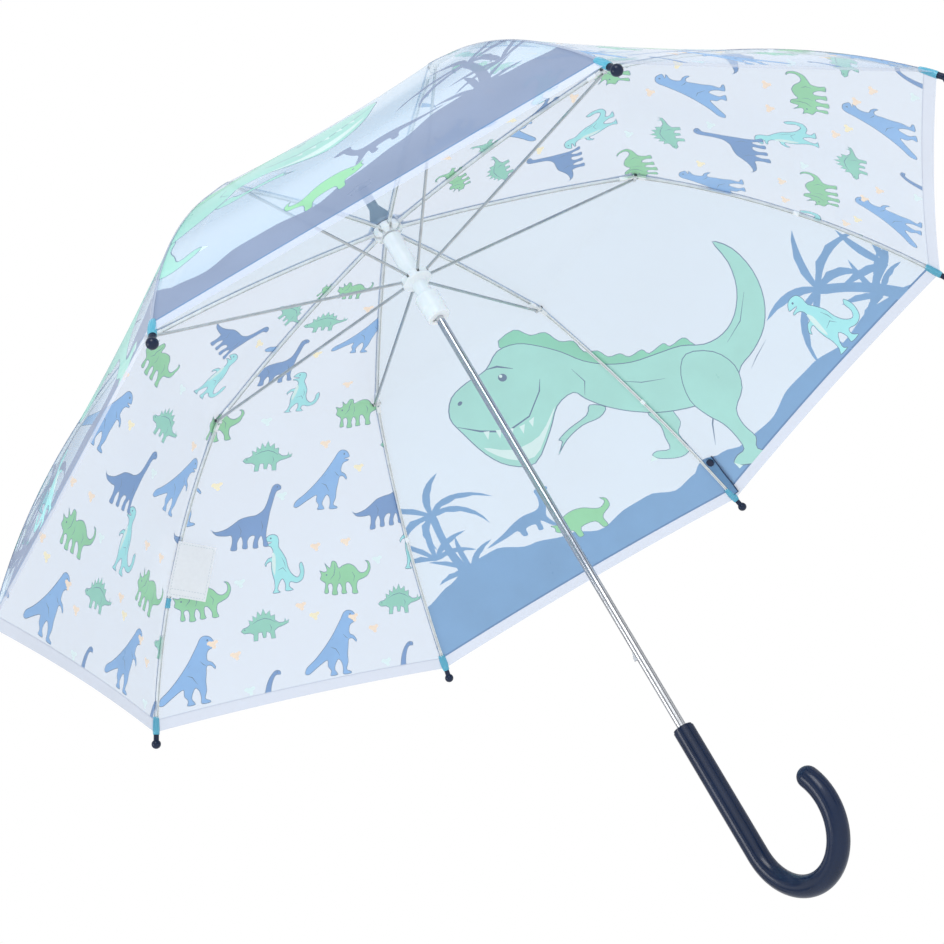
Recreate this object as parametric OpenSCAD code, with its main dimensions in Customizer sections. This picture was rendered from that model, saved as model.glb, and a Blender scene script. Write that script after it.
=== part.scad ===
// Children's stick umbrella with a clear eight-panel canopy and a hook handle.
// Millimetres, +Z up along the shaft, origin in the middle of the straight grip,
// hook of the handle towards +X.

/* [Shaft and hub] */
// Outer radius of the steel shaft tube
shaft_r = 3.5; // [3.3:0.1:3.6]
// Wall of the shaft tube
shaft_wall = 0.5; // [0.4:0.05:0.6]
// Height of the rib hinges above the grip centre
hub_z = 536; // [534:0.5:538]
// Radius of the hinge circle, the same on crown and runner
hinge_r = 9.5; // [9.3:0.1:9.8]
// Radius of each hinge pin
pin_r = 0.6; // [0.55:0.05:0.7]
// Running clearance of a hinge, on the radius
fit = 0.05; // [0.03:0.01:0.08]

/* [Ribs] */
// Radius of the rib joints when the umbrella is open
joint_r = 222; // [219:0.5:225]
// Height of the rib joints when the umbrella is open
joint_z = 510; // [509:0.5:511]
// Radius of the ball tips when the umbrella is open
rim_r = 420; // [417:1:423]
// Height of the ball tips when the umbrella is open
rim_z = 314; // [312:1:316]
// Bow of the inner rib, half its turn in degrees
inner_bow = 4; // [3:0.5:5]
// Bow of the outer rib, half its turn in degrees
outer_bow = 14; // [12:0.5:15]
// Width of the steel rib channel
rib_w = 2.4; // [2.2:0.1:2.6]
// Height of the steel rib channel
rib_h = 2.0; // [1.8:0.1:2.2]
// Width of the steel stretcher bar
bar_w = 1.6; // [1.4:0.1:1.6]
// Height of the steel stretcher bar
bar_h = 1.8; // [1.6:0.1:1.8]
// Radius of the ball on each tip
ball_r = 4; // [3.5:0.1:4.4]

/* [Handle] */
// Radius of the handle
grip_r = 8; // [7.5:0.1:8.5]
// Half length of the straight grip
grip_half = 53; // [50:1:56]
// Radius of the hook's centre line
hook_r = 41; // [38:1:44]
// Turn of the hook
hook_turn = 206; // [195:1:208]

/* [Canopy] */
// Thickness of the film solid
film_t = 0.3; // [0.3:0.1:0.6]
// How far the rim between two tips is cut back
rim_cut = 0.006; // [0:0.002:0.02]

/* [Hidden] */

// Rib i stands at this angle around the shaft; panel i lies between ribs i and i + 1.
function rib_angle(i) = -157.5 - 45 * i;
// The catches sit in a plane midway between two ribs.
catch_angle = -135;

runner_z = 2 * joint_z - hub_z;
inner_len = norm([joint_r - hinge_r, hub_z - joint_z]);
inner_slope = atan2(hub_z - joint_z, joint_r - hinge_r);
outer_len = norm([rim_r - joint_r, joint_z - rim_z]);
outer_slope = atan2(joint_z - rim_z, rim_r - joint_r);
inner_arc_r = inner_len / (2 * sin(inner_bow));
outer_arc_r = outer_len / (2 * sin(outer_bow));
rivet_r = 0.9;
side = 2.8;
upper_catch_z = 458;
lower_catch_z = 117.5;
$fn = 48;

// Point on an arc that leaves start with the given slope, after turning by a degrees.
function arc_point(start, arc_r, slope, a) =
    [start[0] + arc_r * (sin(slope + a) - sin(slope)),
     start[1] - arc_r * (cos(slope) - cos(slope + a))];

// Point of the rib's centre line at s, 0 at the crown, 1 at the joint and 2 at the ball.
function rib_point(s) =
    s <= 1
    ? arc_point([hinge_r, hub_z], inner_arc_r, inner_slope - inner_bow, 2 * inner_bow * s)
    : arc_point([joint_r, joint_z], outer_arc_r, outer_slope - outer_bow, 2 * outer_bow * (s - 1));
// Slope of the rib there.
function rib_slope(s) =
    s <= 1
    ? inner_slope - inner_bow + 2 * inner_bow * s
    : outer_slope - outer_bow + 2 * outer_bow * (s - 1);
// Slope used to lift the film, smoothed across the joint.
function film_slope(s) =
    let(w = max(0, 1 - abs(s - 1) / 0.12))
    rib_slope(s) * (1 - w) + (inner_slope + inner_bow + outer_slope - outer_bow) / 2 * w;
// Height of the film's inner side above the rib, more over the joint rivets and the crown.
function film_low(s) =
    1.8 + 1.4 * max(0, 1 - abs(s - 1) / 0.12) + 2.6 * pow(max(0, 1 - s / 0.08), 2);
// Point of the film above the rib, lifted by d.
function film_point(s, d) =
    let(p = rib_point(s), a = film_slope(s))
    [p[0] + d * sin(a), p[1] + d * cos(a)];

// Places children in the plane of rib i, x outwards and y along the hinge axis.
module at_rib(i) {
    rotate([0, 0, rib_angle(i)])
        children();
}

// Steel channel, open downwards, bent along an arc from turn a0 to turn a1.
module channel(start, arc_r, slope, a0, a1, w, h) {
    wall = 0.5;
    translate([start[0] - arc_r * sin(slope), 0, start[1] - arc_r * cos(slope)])
        rotate([90, 0, 0])
            rotate([0, 0, 90 - slope - a1])
                rotate_extrude(angle = a1 - a0, $fn = 360)
                    polygon([
                        [arc_r - h / 2, -w / 2], [arc_r + h / 2, -w / 2],
                        [arc_r + h / 2, w / 2], [arc_r - h / 2, w / 2],
                        [arc_r - h / 2, w / 2 - wall], [arc_r + h / 2 - wall, w / 2 - wall],
                        [arc_r + h / 2 - wall, -w / 2 + wall], [arc_r - h / 2, -w / 2 + wall]
                    ]);
}

// Flat eye around the y axis with a neck of length n along +x.
module eye(r, t, n, h) {
    rotate([90, 0, 0])
        cylinder(r = r, h = t, center = true);
    translate([0, -t / 2, -h / 2])
        cube([n, t, h]);
}

// Round bore or pin along y.
module along_y(r, y0, y1) {
    translate([0, y0, 0])
        rotate([-90, 0, 0])
            cylinder(r = r, h = y1 - y0);
}

// Straight steel tube with a slot for each spring catch.
module shaft_tube() {
    color("silver")
        difference() {
            translate([0, 0, 13])
                cylinder(r = shaft_r, h = hub_z + 22 - 13, $fn = 64);
            translate([0, 0, 12])
                cylinder(r = shaft_r - shaft_wall, h = hub_z + 24 - 12, $fn = 64);
            for (z = [upper_catch_z, lower_catch_z])
                rotate([0, 0, catch_angle])
                    translate([1, -1.25, z - 4.2])
                        cube([5, 2.5, 8.4]);
        }
}

// Notched plastic crown that carries the eight rib hinges.
module crown() {
    color("white")
        difference() {
            rotate_extrude($fn = 96)
                polygon([
                    [shaft_r, hub_z - 5], [8.2, hub_z - 5], [12, hub_z - 3.4], [12.4, hub_z - 2.5],
                    [12.4, hub_z + 2.2], [11.6, hub_z + 3.2], [7, hub_z + 3.8], [7, hub_z + 5.2],
                    [shaft_r, hub_z + 5.2]
                ]);
            for (i = [0:7])
                at_rib(i) {
                    translate([7.6, -1.5, hub_z - 6])
                        cube([6, 3, 8]);
                    translate([hinge_r, 0, hub_z])
                        along_y(pin_r, -2.9, 2.9);
                }
        }
}

// Steel wire lengths of the crown, one straight hinge pin per rib.
module crown_pins() {
    color("silver")
        for (i = [0:7])
            at_rib(i)
                translate([hinge_r, 0, hub_z])
                    along_y(pin_r, -2.9, 2.9);
}

// Moulded top cap with flutes and a blunt spike.
module ferrule() {
    color("midnightblue")
        difference() {
            rotate_extrude($fn = 72)
                polygon([
                    [shaft_r, hub_z + 7], [10.8, hub_z + 7], [11, hub_z + 8.2], [9.4, hub_z + 14],
                    [6.8, hub_z + 20], [5.2, hub_z + 23.5], [4.3, hub_z + 24.5], [4.3, hub_z + 46],
                    [3.4, hub_z + 48.4], [0, hub_z + 49.2], [0, hub_z + 22.3], [shaft_r, hub_z + 22.3]
                ]);
            for (i = [0:11])
                rotate([0, 0, 30 * i])
                    translate([12.4, 0, hub_z + 6])
                        rotate([0, -18, 0])
                            cylinder(r = 1.7, h = 20, $fn = 24);
        }
}

// Hook handle, straight grip and part ring with a rounded end.
module handle() {
    color("midnightblue")
        difference() {
            union() {
                translate([0, 0, -grip_half])
                    cylinder(r = grip_r, h = 2 * grip_half - 1.5, $fn = 64);
                translate([0, 0, grip_half - 1.5])
                    cylinder(r = grip_r - 0.7, h = 1.5, $fn = 64);
                translate([hook_r, 0, -grip_half])
                    rotate([90, 0, 0])
                        rotate([0, 0, 180])
                            rotate_extrude(angle = hook_turn, $fn = 120)
                                translate([hook_r, 0])
                                    circle(r = grip_r, $fn = 36);
                translate([hook_r, 0, -grip_half])
                    rotate([0, -hook_turn, 0])
                        translate([-hook_r, 0, 0])
                            sphere(r = grip_r - 0.05, $fn = 48);
            }
            translate([0, 0, 13])
                cylinder(r = shaft_r, h = grip_half, $fn = 64);
        }
}

// Spring catch; its flat face points up when up is 1 and down when up is -1.
module catch(z, up) {
    color("silver")
        rotate([0, 0, catch_angle])
            translate([0, 0, z]) {
                translate([1.3, -1.5, -3.8])
                    cube([1.1, 3, 7.6]);
                rotate([90, 0, 0])
                    translate([0, 0, -1.05])
                        linear_extrude(height = 2.1)
                            polygon([
                                [2.3, -3.6 * up], [2.3, 3.6 * up], [5.4, 3.6 * up],
                                [5.4, 1.8 * up], [3.4, -3.6 * up]
                            ]);
            }
}

// Upper spring catch, holds the umbrella open.
module upper_catch() {
    catch(upper_catch_z, 1);
}

// Lower spring catch, holds the umbrella closed.
module lower_catch() {
    catch(lower_catch_z, -1);
}

// Sliding runner: collar, neck, notched disc and upper sleeve, with an inside keyway.
module runner() {
    z = runner_z;
    color("white")
        difference() {
            rotate_extrude($fn = 96)
                polygon([
                    [shaft_r + 0.1, z - 42], [8.6, z - 42], [9.6, z - 41], [9.8, z - 34],
                    [10.4, z - 31], [10.4, z - 20], [9.4, z - 18.4], [6.8, z - 17.6],
                    [6.6, z - 6], [8.6, z - 4.4], [12, z - 3.6], [12.6, z - 2.8], [12.6, z + 2],
                    [11.6, z + 3], [7.8, z + 3.4], [7.8, hub_z - 7.5], [7, hub_z - 6.4],
                    [shaft_r + 0.1, hub_z - 6.4]
                ]);
            for (i = [0:7])
                at_rib(i) {
                    translate([7.9, -1.05, z - 2])
                        cube([6, 2.1, 8]);
                    translate([hinge_r, 0, z])
                        along_y(pin_r, -2.9, 2.9);
                }
            rotate([0, 0, catch_angle])
                translate([0, -1.5, z - 43])
                    cube([5.8, 3, hub_z - z + 43]);
            rotate([0, 0, catch_angle])
                translate([5, -2.2, upper_catch_z - 5])
                    cube([7, 4.4, 10]);
        }
}

// Steel wire lengths of the runner, one straight hinge pin per stretcher.
module runner_pins() {
    color("silver")
        for (i = [0:7])
            at_rib(i)
                translate([hinge_r, 0, runner_z])
                    along_y(pin_r, -2.9, 2.9);
}

// Inner length of a steel rib, crown eye to joint eye, with the joint rivet.
module rib_inner(i) {
    start_slope = inner_slope - inner_bow;
    end_slope = inner_slope + inner_bow;
    skip = 3 / inner_arc_r * 180 / PI;
    color("lightgray")
        at_rib(i)
            difference() {
                union() {
                    channel([hinge_r, hub_z], inner_arc_r, start_slope, skip, 2 * inner_bow - skip,
                        rib_w, rib_h);
                    translate([hinge_r, 0, hub_z])
                        rotate([0, start_slope, 0])
                            eye(1.5, 1.5, 8, 1.6);
                    translate([joint_r, 0, joint_z])
                        rotate([0, 180 + end_slope, 0])
                            eye(1.8, 1.5, 9, 1.6);
                    translate([joint_r, 0, joint_z]) {
                        along_y(rivet_r, -2.6, side + 1.1);
                        along_y(1.5, -2.7, -2.1);
                        along_y(1.5, side + 0.9, side + 1.4);
                    }
                }
                translate([hinge_r, 0, hub_z])
                    along_y(pin_r + fit, -2, 2);
            }
}

// Outer length of a steel rib, forked over the joint eye.
module rib_outer(i) {
    start_slope = outer_slope - outer_bow;
    skip = 3.6 / outer_arc_r * 180 / PI;
    color("lightgray")
        at_rib(i)
            difference() {
                union() {
                    channel([joint_r, joint_z], outer_arc_r, start_slope, skip,
                        2 * outer_bow - 4 / outer_arc_r * 180 / PI, rib_w, rib_h);
                    translate([joint_r, 0, joint_z])
                        rotate([0, start_slope, 0]) {
                            difference() {
                                eye(2, 3.5, 9, 2);
                                translate([-3, -0.95, -3])
                                    cube([6, 1.9, 6]);
                            }
                        }
                }
                translate([joint_r, 0, joint_z])
                    along_y(rivet_r + fit, -3, 3);
            }
}

// Ball tip with a short neck over the end of the rib.
module rib_tip(i) {
    color("midnightblue")
        at_rib(i)
            translate([rim_r, 0, rim_z]) {
                difference() {
                    union() {
                        sphere(r = ball_r, $fn = 48);
                        rotate([0, outer_slope + outer_bow - 90, 0])
                            cylinder(r = 2.3, h = 9, $fn = 32);
                    }
                    rotate([0, outer_slope + outer_bow - 90, 0])
                        translate([-(rib_h + 0.3) / 2, -(rib_w + 0.3) / 2, 3.6])
                            cube([rib_h + 0.4, rib_w + 0.3, 6]);
                }
            }
}

// Stretcher from the runner to the outside of the rib joint.
module stretcher(i) {
    skew = asin(side / inner_len);
    color("lightgray")
        at_rib(i)
            translate([hinge_r, 0, runner_z])
                rotate([0, -inner_slope, 0])
                    difference() {
                        union() {
                            eye(1.5, 1.5, 5, 1.6);
                            translate([inner_len, side, 0])
                                mirror([1, 0, 0])
                                    eye(1.7, 1.2, 5, 1.6);
                            rotate([0, 0, skew])
                                translate([3, -bar_w / 2, -bar_h / 2])
                                    cube([inner_len - 6, bar_w, bar_h]);
                        }
                        along_y(pin_r + fit, -2, 2);
                        translate([inner_len, side, 0])
                            along_y(rivet_r + fit, -2, 2);
                    }
}

// Film between rib i and rib i + 1, a thin closed shell.
module canopy_panel(i) {
    rows = 20;
    cols = 6;
    // Rib station of row v at column u. One row runs along the rib joints, and the rim is cut back between tips.
    function station(u, v) =
        let(t = 2 * v / rows, s = t < 1 ? 0.005 + 0.995 * t : 1 + 0.965 * (t - 1))
        s * (1 - rim_cut * 4 * u / cols * (1 - u / cols) * pow(v / rows, 3));
    function corner(k, s, d, inset) =
        let(p = film_point(s, d), a = rib_angle(k))
        [p[0] * cos(a) - inset * sin(a), p[0] * sin(a) + inset * cos(a), p[1]];
    function film(u, v, d) =
        let(s = station(u, v), t = u / cols, h = film_low(s) + d,
            a = corner(i, s, h, -0.4), b = corner(i + 1, s, h, 0.4))
        a * (1 - t) + b * t;
    top = [for (v = [0:rows]) for (u = [0:cols]) film(u, v, film_t)];
    bottom = [for (v = [0:rows]) for (u = [0:cols]) film(u, v, 0)];
    n = (rows + 1) * (cols + 1);
    w = cols + 1;
    color("aliceblue", 0.5)
        polyhedron(
            points = concat(top, bottom),
            faces = concat(
                [for (v = [0:rows - 1]) for (u = [0:cols - 1]) each [
                    [v * w + u, v * w + u + 1, (v + 1) * w + u + 1],
                    [v * w + u, (v + 1) * w + u + 1, (v + 1) * w + u],
                    [n + v * w + u, n + (v + 1) * w + u + 1, n + v * w + u + 1],
                    [n + v * w + u, n + (v + 1) * w + u, n + (v + 1) * w + u + 1]
                ]],
                [for (v = [0:rows - 1]) each [
                    [v * w, (v + 1) * w, n + v * w],
                    [(v + 1) * w, n + (v + 1) * w, n + v * w],
                    [v * w + cols, n + v * w + cols, (v + 1) * w + cols],
                    [(v + 1) * w + cols, n + v * w + cols, n + (v + 1) * w + cols]
                ]],
                [for (u = [0:cols - 1]) each [
                    [u, n + u, u + 1],
                    [u + 1, n + u, n + u + 1],
                    [rows * w + u, rows * w + u + 1, n + rows * w + u],
                    [rows * w + u + 1, n + rows * w + u + 1, n + rows * w + u]
                ]]
            )
        );
}

// Turn about the rib that lays a flat piece against the film on the side of rib i + 1.
function film_tilt(s) = atan(tan(22.5) * sin(rib_slope(s)));

// Frame of the film's inner side at rib i: x along the rib outwards, z out of the film.
module on_film(i, s, tilt) {
    p = film_point(s, 0.6);
    at_rib(i)
        translate([p[0], 0, p[1]])
            rotate([0, rib_slope(s), 0])
                rotate([tilt, 0, 0])
                    children();
}

// Strap that ties the closed canopy, lying beside rib 2 near its tip.
module closing_strap() {
    color("steelblue")
        on_film(2, 1.87, film_tilt(1.87))
            translate([0, 0, -1.4])
                linear_extrude(height = 0.7)
                    polygon([[-21, -2.2], [-21, -13.2], [22, -8.8], [22, -2.2]]);
}

// Press button at the free end of the strap.
module strap_button() {
    color("midnightblue")
        on_film(2, 1.87, film_tilt(1.87))
            translate([-16.6, -7.8, -2.85])
                cylinder(r = 3.6, h = 1.4, $fn = 40);
}

// Blank fabric label that hangs inside the canopy at rib 0.
module care_label() {
    color("white")
        on_film(0, 1.46, 24)
            translate([-21.8, -33, -3.9])
                cube([47.6, 36, 0.5]);
}

shaft_tube();
crown();
crown_pins();
ferrule();
handle();
upper_catch();
lower_catch();
runner();
runner_pins();
rib_inner(0);  // rib_inner_0
rib_inner(1);  // rib_inner_1
rib_inner(2);  // rib_inner_2
rib_inner(3);  // rib_inner_3
rib_inner(4);  // rib_inner_4
rib_inner(5);  // rib_inner_5
rib_inner(6);  // rib_inner_6
rib_inner(7);  // rib_inner_7
rib_outer(0);  // rib_outer_0
rib_outer(1);  // rib_outer_1
rib_outer(2);  // rib_outer_2
rib_outer(3);  // rib_outer_3
rib_outer(4);  // rib_outer_4
rib_outer(5);  // rib_outer_5
rib_outer(6);  // rib_outer_6
rib_outer(7);  // rib_outer_7
rib_tip(0);  // rib_tip_0
rib_tip(1);  // rib_tip_1
rib_tip(2);  // rib_tip_2
rib_tip(3);  // rib_tip_3
rib_tip(4);  // rib_tip_4
rib_tip(5);  // rib_tip_5
rib_tip(6);  // rib_tip_6
rib_tip(7);  // rib_tip_7
stretcher(0);  // stretcher_0
stretcher(1);  // stretcher_1
stretcher(2);  // stretcher_2
stretcher(3);  // stretcher_3
stretcher(4);  // stretcher_4
stretcher(5);  // stretcher_5
stretcher(6);  // stretcher_6
stretcher(7);  // stretcher_7
canopy_panel(0);  // canopy_panel_0
canopy_panel(1);  // canopy_panel_1
canopy_panel(2);  // canopy_panel_2
canopy_panel(3);  // canopy_panel_3
canopy_panel(4);  // canopy_panel_4
canopy_panel(5);  // canopy_panel_5
canopy_panel(6);  // canopy_panel_6
canopy_panel(7);  // canopy_panel_7
closing_strap();
strap_button();
care_label();
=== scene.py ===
import bpy
import math
import random
import numpy as np
from mathutils import Matrix, Vector
from mathutils.geometry import delaunay_2d_cdt


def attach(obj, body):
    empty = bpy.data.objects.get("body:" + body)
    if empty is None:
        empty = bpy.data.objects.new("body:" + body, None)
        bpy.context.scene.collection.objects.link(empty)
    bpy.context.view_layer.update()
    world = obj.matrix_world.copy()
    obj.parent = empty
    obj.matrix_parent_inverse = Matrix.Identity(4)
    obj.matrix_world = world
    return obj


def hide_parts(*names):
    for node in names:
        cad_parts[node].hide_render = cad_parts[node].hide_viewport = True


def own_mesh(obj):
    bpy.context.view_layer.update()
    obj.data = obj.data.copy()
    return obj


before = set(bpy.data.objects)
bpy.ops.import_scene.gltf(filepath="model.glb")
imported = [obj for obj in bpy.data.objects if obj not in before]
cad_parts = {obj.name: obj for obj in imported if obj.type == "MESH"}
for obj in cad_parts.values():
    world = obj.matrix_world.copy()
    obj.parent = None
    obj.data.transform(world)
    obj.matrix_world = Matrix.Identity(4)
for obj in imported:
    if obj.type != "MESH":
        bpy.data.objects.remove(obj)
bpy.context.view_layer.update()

rng = random.Random(7)

# ---------------------------------------- frame sizes, millimetres
HUB_Z, HINGE_R, JOINT_R, JOINT_Z, RIM_R, RIM_Z = 536.0, 9.5, 222.0, 510.0, 420.0, 314.0
INNER_BOW, OUTER_BOW, RIM_CUT = 4.0, 14.0, 0.006
S_END = 1.965


def sind(a):
    return math.sin(math.radians(a))


def cosd(a):
    return math.cos(math.radians(a))


INNER_LEN = math.hypot(JOINT_R - HINGE_R, HUB_Z - JOINT_Z)
INNER_SLOPE = math.degrees(math.atan2(HUB_Z - JOINT_Z, JOINT_R - HINGE_R))
OUTER_LEN = math.hypot(RIM_R - JOINT_R, JOINT_Z - RIM_Z)
OUTER_SLOPE = math.degrees(math.atan2(JOINT_Z - RIM_Z, RIM_R - JOINT_R))
INNER_ARC = INNER_LEN / (2 * sind(INNER_BOW))
OUTER_ARC = OUTER_LEN / (2 * sind(OUTER_BOW))


def rib_angle(i):
    return -157.5 - 45 * i


def arc_point(start, r, slope, a):
    return (start[0] + r * (sind(slope + a) - sind(slope)),
            start[1] - r * (cosd(slope) - cosd(slope + a)))


def rib_point(s):
    if s <= 1:
        return arc_point((HINGE_R, HUB_Z), INNER_ARC, INNER_SLOPE - INNER_BOW, 2 * INNER_BOW * s)
    return arc_point((JOINT_R, JOINT_Z), OUTER_ARC, OUTER_SLOPE - OUTER_BOW, 2 * OUTER_BOW * (s - 1))


def rib_slope(s):
    if s <= 1:
        return INNER_SLOPE - INNER_BOW + 2 * INNER_BOW * s
    return OUTER_SLOPE - OUTER_BOW + 2 * OUTER_BOW * (s - 1)


def film_slope(s):
    w = max(0.0, 1 - abs(s - 1) / 0.12)
    mid = (INNER_SLOPE + INNER_BOW + OUTER_SLOPE - OUTER_BOW) / 2
    return rib_slope(s) * (1 - w) + mid * w


def film_point(s, d=0.15):
    """The film's centre line over a rib, or a line d - 0.15 above it."""
    p, a = rib_point(s), film_slope(s)
    d += 1.8 + 1.4 * max(0, 1 - abs(s - 1) / 0.12) + 2.6 * max(0, 1 - s / 0.08) ** 2
    return p[0] + d * sind(a), p[1] + d * cosd(a)


def on_rib(i, x, y, z):
    """A point of rib i's frame, x outwards, y along the hinge axis, in metres of the row frame."""
    a = rib_angle(i)
    return Vector((x * cosd(a) - y * sind(a), x * sind(a) + y * cosd(a), z)) / 1000


def panel_point(i, u, s, d=0.15):
    x, z = film_point(s, d)
    sag = 3.0 * 4 * u * (1 - u) * math.sin(math.pi * min(s, 2.0) / 2.25)
    a, b = on_rib(i, x, 0, z), on_rib(i + 1, x, 0, z)
    p = a.lerp(b, u)
    mid = math.radians(rib_angle(i) - 22.5)
    t = film_slope(s)
    n = Vector((math.cos(mid) * sind(t), math.sin(mid) * sind(t), cosd(t)))
    return p - n * sag / 1000


def width(s):
    return 2 * film_point(max(s, 0.0))[0] * sind(22.5)


def run(s):
    return INNER_LEN * s if s <= 1 else INNER_LEN + OUTER_LEN * 1.01 * (s - 1)


def station(y):
    return y / INNER_LEN if y <= INNER_LEN else 1 + (y - INNER_LEN) / (OUTER_LEN * 1.01)


# ---------------------------------------- materials
def srgb(r, g, b):
    def f(c):
        c /= 255
        return c / 12.92 if c <= 0.04045 else ((c + 0.055) / 1.055) ** 2.4
    return f(r), f(g), f(b)


def material(name, color, rough=0.4, spread=0.06, scale=60.0, stretch=(1, 1, 1), bump=0.0, bump_scale=400.0,
             rough_spread=0.08, **sockets):
    """Principled shader with noise in its colour, roughness and bump."""
    m = bpy.data.materials.new(name)
    m.use_nodes = True
    nt = m.node_tree
    bsdf = nt.nodes["Principled BSDF"]
    coord = nt.nodes.new("ShaderNodeTexCoord")
    mapping = nt.nodes.new("ShaderNodeMapping")
    mapping.inputs["Scale"].default_value = stretch
    nt.links.new(coord.outputs["Object"], mapping.inputs["Vector"])
    noise = nt.nodes.new("ShaderNodeTexNoise")
    noise.inputs["Scale"].default_value = scale
    noise.inputs["Detail"].default_value = 4
    nt.links.new(mapping.outputs["Vector"], noise.inputs["Vector"])
    ramp = nt.nodes.new("ShaderNodeValToRGB")
    ramp.color_ramp.elements[0].position = 0.3
    ramp.color_ramp.elements[1].position = 0.7
    ramp.color_ramp.elements[0].color = (*[c * (1 - spread) for c in color], 1)
    ramp.color_ramp.elements[1].color = (*[min(1, c * (1 + spread)) for c in color], 1)
    nt.links.new(noise.outputs["Fac"], ramp.inputs["Fac"])
    nt.links.new(ramp.outputs["Color"], bsdf.inputs["Base Color"])
    span = nt.nodes.new("ShaderNodeMapRange")
    span.inputs["To Min"].default_value = max(0.02, rough - rough_spread)
    span.inputs["To Max"].default_value = min(1.0, rough + rough_spread)
    nt.links.new(noise.outputs["Fac"], span.inputs["Value"])
    nt.links.new(span.outputs["Result"], bsdf.inputs["Roughness"])
    if bump:
        fine = nt.nodes.new("ShaderNodeTexNoise")
        fine.inputs["Scale"].default_value = bump_scale
        fine.inputs["Detail"].default_value = 3
        nt.links.new(mapping.outputs["Vector"], fine.inputs["Vector"])
        b = nt.nodes.new("ShaderNodeBump")
        b.inputs["Strength"].default_value = bump
        b.inputs["Distance"].default_value = 0.0004
        nt.links.new(fine.outputs["Fac"], b.inputs["Height"])
        nt.links.new(b.outputs["Normal"], bsdf.inputs["Normal"])
    for k, v in sockets.items():
        bsdf.inputs[k.replace("_", " ")].default_value = v
    return m


chrome = material("chrome_tube", (0.60, 0.62, 0.65), rough=0.16, rough_spread=0.05, spread=0.05, scale=120,
                  stretch=(6, 6, 0.4), bump=0.05, bump_scale=300, Metallic=1.0)
white = material("white_plastic", (0.94, 0.965, 0.97), rough=0.32, spread=0.025, scale=90, bump=0.12,
                 bump_scale=900, Subsurface_Weight=0.08)
steel = material("pin_steel", (0.34, 0.36, 0.39), rough=0.32, spread=0.15, scale=200, bump=0.1, Metallic=0.9)
navy = material("navy_plastic", srgb(6, 28, 58), rough=0.30, spread=0.12, scale=40, bump=0.03, bump_scale=700,
                Specular_IOR_Level=0.3, Coat_Weight=0.18, Coat_Roughness=0.06)
ribs = material("rib_steel", (0.84, 0.87, 0.87), rough=0.38, spread=0.06, scale=150, bump=0.1,
                bump_scale=600, Metallic=0.3)
bars = material("stretcher_steel", (0.52, 0.55, 0.56), rough=0.32, spread=0.10, scale=150, bump=0.1,
                bump_scale=600, Metallic=0.8)
seam_dark = material("tube_seam", (0.10, 0.10, 0.12), rough=0.4, spread=0.2, scale=200, Metallic=0.6)

FILM = dict(rough=0.14, rough_spread=0.05, spread=0.035, scale=9, bump=0.10, bump_scale=26)
INK = dict(rough=0.30, rough_spread=0.06, spread=0.05, scale=22, bump=0.08, bump_scale=60)
film_mats = {
    "film": material("clear_film", srgb(180, 208, 240), Alpha=0.42, **FILM),
    "sky": material("sky_film", srgb(178, 212, 240), Alpha=0.46, **FILM),
    "hem": material("hem_film", srgb(206, 218, 240), Alpha=0.62, **FILM),
    "weld": material("weld_line", srgb(176, 190, 214), Alpha=0.75, **FILM),
    "ground": material("ink_ground", srgb(118, 164, 207), Alpha=0.93, **INK),
    # Darker copy of the ground ink, used on panels 5 to 7: painted shade for the far side that faces away
    # from the light, not a different ink.
    "painted_shade_ground": material("ink_ground_painted_shade", srgb(128, 146, 178), Alpha=0.93, **INK),
    "ground_edge": material("ink_ground_edge", srgb(98, 138, 182), Alpha=0.95, **INK),
    "line": material("ink_line", srgb(92, 122, 152), Alpha=0.92, **INK),
    "rex": material("ink_blue", srgb(132, 184, 236), Alpha=0.90, **INK),
    "sau": material("ink_deep_blue", srgb(112, 154, 206), Alpha=0.92, **INK),
    "cyan": material("ink_cyan", srgb(160, 236, 238), Alpha=0.90, **INK),
    "tri": material("ink_green", srgb(142, 216, 164), Alpha=0.90, **INK),
    "steg": material("ink_mint", srgb(142, 214, 192), Alpha=0.90, **INK),
    "big": material("ink_pale_mint", srgb(156, 222, 210), Alpha=0.86, **INK),
    "ridge": material("ink_ridge", srgb(132, 212, 182), Alpha=0.90, **INK),
    "pale": material("ink_pale", srgb(214, 244, 240), Alpha=0.80, **INK),
    "peach": material("ink_peach", srgb(255, 216, 176), Alpha=0.60, **INK),
    "yellow": material("ink_yellow", srgb(250, 232, 160), Alpha=0.55, **INK),
    "aqua": material("ink_aqua", srgb(176, 234, 242), Alpha=0.45, **INK),
}
KEYS = list(film_mats)
sleeve_mat = material("sleeve_blue", srgb(92, 186, 214), Alpha=0.78, **FILM)
strap_mat = material("blue_film", srgb(104, 148, 188), rough=0.22, rough_spread=0.06, spread=0.05, scale=40,
                     bump=0.1, bump_scale=200, Alpha=0.88)
piping = material("navy_piping", srgb(28, 62, 98), rough=0.35, spread=0.1, scale=120, bump=0.2,
                  bump_scale=900)


def woven(name, color):
    """Plain weave from two crossed sets of bands."""
    m = material(name, color, rough=0.85, spread=0.02, scale=300, rough_spread=0.05)
    nt = m.node_tree
    bsdf = nt.nodes["Principled BSDF"]
    coord = nt.nodes["Texture Coordinate"]
    waves = []
    for axis in ("X", "Y"):
        w = nt.nodes.new("ShaderNodeTexWave")
        w.wave_type = "BANDS"
        w.bands_direction = axis
        w.inputs["Scale"].default_value = 700
        w.inputs["Distortion"].default_value = 0.6
        nt.links.new(coord.outputs["Object"], w.inputs["Vector"])
        waves.append(w)
    mix = nt.nodes.new("ShaderNodeMath")
    mix.operation = "MAXIMUM"
    nt.links.new(waves[0].outputs["Fac"], mix.inputs[0])
    nt.links.new(waves[1].outputs["Fac"], mix.inputs[1])
    b = nt.nodes.new("ShaderNodeBump")
    b.inputs["Strength"].default_value = 0.35
    b.inputs["Distance"].default_value = 0.0002
    nt.links.new(mix.outputs["Value"], b.inputs["Height"])
    nt.links.new(b.outputs["Normal"], bsdf.inputs["Normal"])
    bsdf.inputs["Sheen Weight"].default_value = 0.3
    return m


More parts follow.
